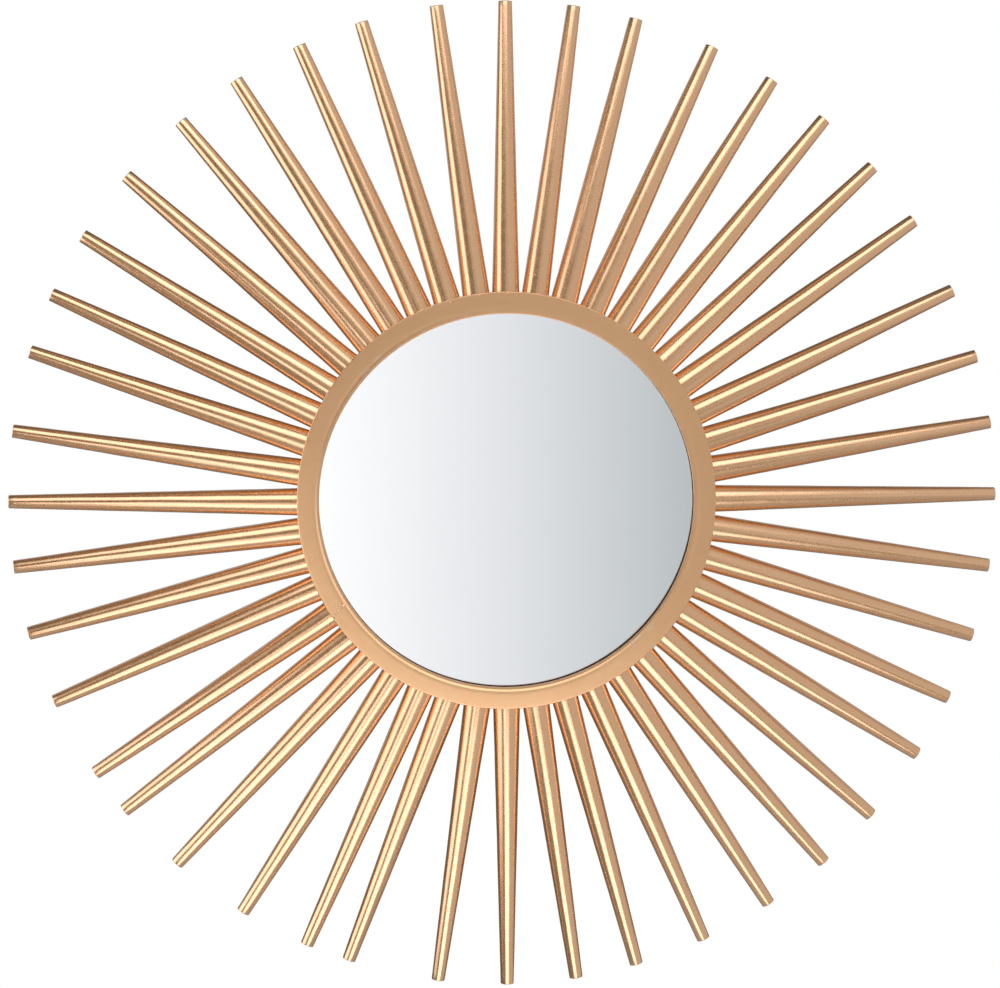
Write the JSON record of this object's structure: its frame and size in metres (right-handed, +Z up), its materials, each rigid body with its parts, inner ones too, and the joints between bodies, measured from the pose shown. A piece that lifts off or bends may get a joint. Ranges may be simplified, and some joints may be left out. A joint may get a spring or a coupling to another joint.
{
  "type": "wall mirror",
  "caption": "Round wall mirror in a flat pressed ring with tapered metal tube rays welded round it as a sunburst; two hinged D-ring hangers on the back panel.",
  "frame": {"origin": "centre of the disc on the wall plane, where the hoop's rear rim rests against the wall", "axes": "+Z up as hung, +X to the right of a person facing the mirror, +Y into the wall: the mirror faces -Y"},
  "size_m": [0.737, 0.025, 0.737],
  "materials": {
    "gold_paint": "satin metallic gold spray paint on mild steel",
    "mirror": "3 mm silvered float glass",
    "foam": "closed-cell foam",
    "hardboard": "plain medium-density fibreboard",
    "zinc_plate": "zinc-plated steel",
    "nickel_wire": "nickel-plated steel wire",
    "zinc_screw": "zinc-plated screw"
  },
  "bodies": {
    "mirror_body": {"back_panel": "hardboard", "foam_cushion": "foam", "front_ring": "gold_paint", "hanger_screws": "zinc_screw", "left_hanger_strap": "zinc_plate", "mirror_glass": "mirror", "panel_tabs": "gold_paint", "ray_01": "gold_paint", "ray_02": "gold_paint", "ray_03": "gold_paint", "ray_04": "gold_paint", "ray_05": "gold_paint", "ray_06": "gold_paint", "ray_07": "gold_paint", "ray_08": "gold_paint", "ray_09": "gold_paint", "ray_10": "gold_paint", "ray_11": "gold_paint", "ray_12": "gold_paint", "ray_13": "gold_paint", "ray_14": "gold_paint", "ray_15": "gold_paint", "ray_16": "gold_paint", "ray_17": "gold_paint", "ray_18": "gold_paint", "ray_19": "gold_paint", "ray_20": "gold_paint", "ray_21": "gold_paint", "ray_22": "gold_paint", "ray_23": "gold_paint", "ray_24": "gold_paint", "ray_25": "gold_paint", "ray_26": "gold_paint", "ray_27": "gold_paint", "ray_28": "gold_paint", "ray_29": "gold_paint", "ray_30": "gold_paint", "ray_31": "gold_paint", "ray_32": "gold_paint", "ray_33": "gold_paint", "ray_34": "gold_paint", "ray_35": "gold_paint", "ray_36": "gold_paint", "ray_37": "gold_paint", "ray_38": "gold_paint", "ray_39": "gold_paint", "ray_40": "gold_paint", "ray_41": "gold_paint", "ray_42": "gold_paint", "ray_43": "gold_paint", "ray_44": "gold_paint", "ray_tip_caps_1": "gold_paint", "ray_tip_caps_2": "gold_paint", "ray_tip_caps_3": "gold_paint", "ray_tip_caps_4": "gold_paint", "right_hanger_strap": "zinc_plate", "ring_hoop": "gold_paint"},
    "left_d_ring": {"left_d_ring": "nickel_wire"},
    "right_d_ring": {"right_d_ring": "nickel_wire"}
  },
  "joints": [
    {"name": "left_ring_swing", "type": "hinge", "parent": "mirror_body", "child": "left_d_ring", "pos_m": [-0.085, -0.00804, 0.066], "axis": [-1, 0, 0], "range_deg": [0, 177.5]},
    {"name": "right_ring_swing", "type": "hinge", "parent": "mirror_body", "child": "right_d_ring", "pos_m": [0.085, -0.00804, 0.066], "axis": [-1, 0, 0], "range_deg": [0, 177.5]}
  ]
}
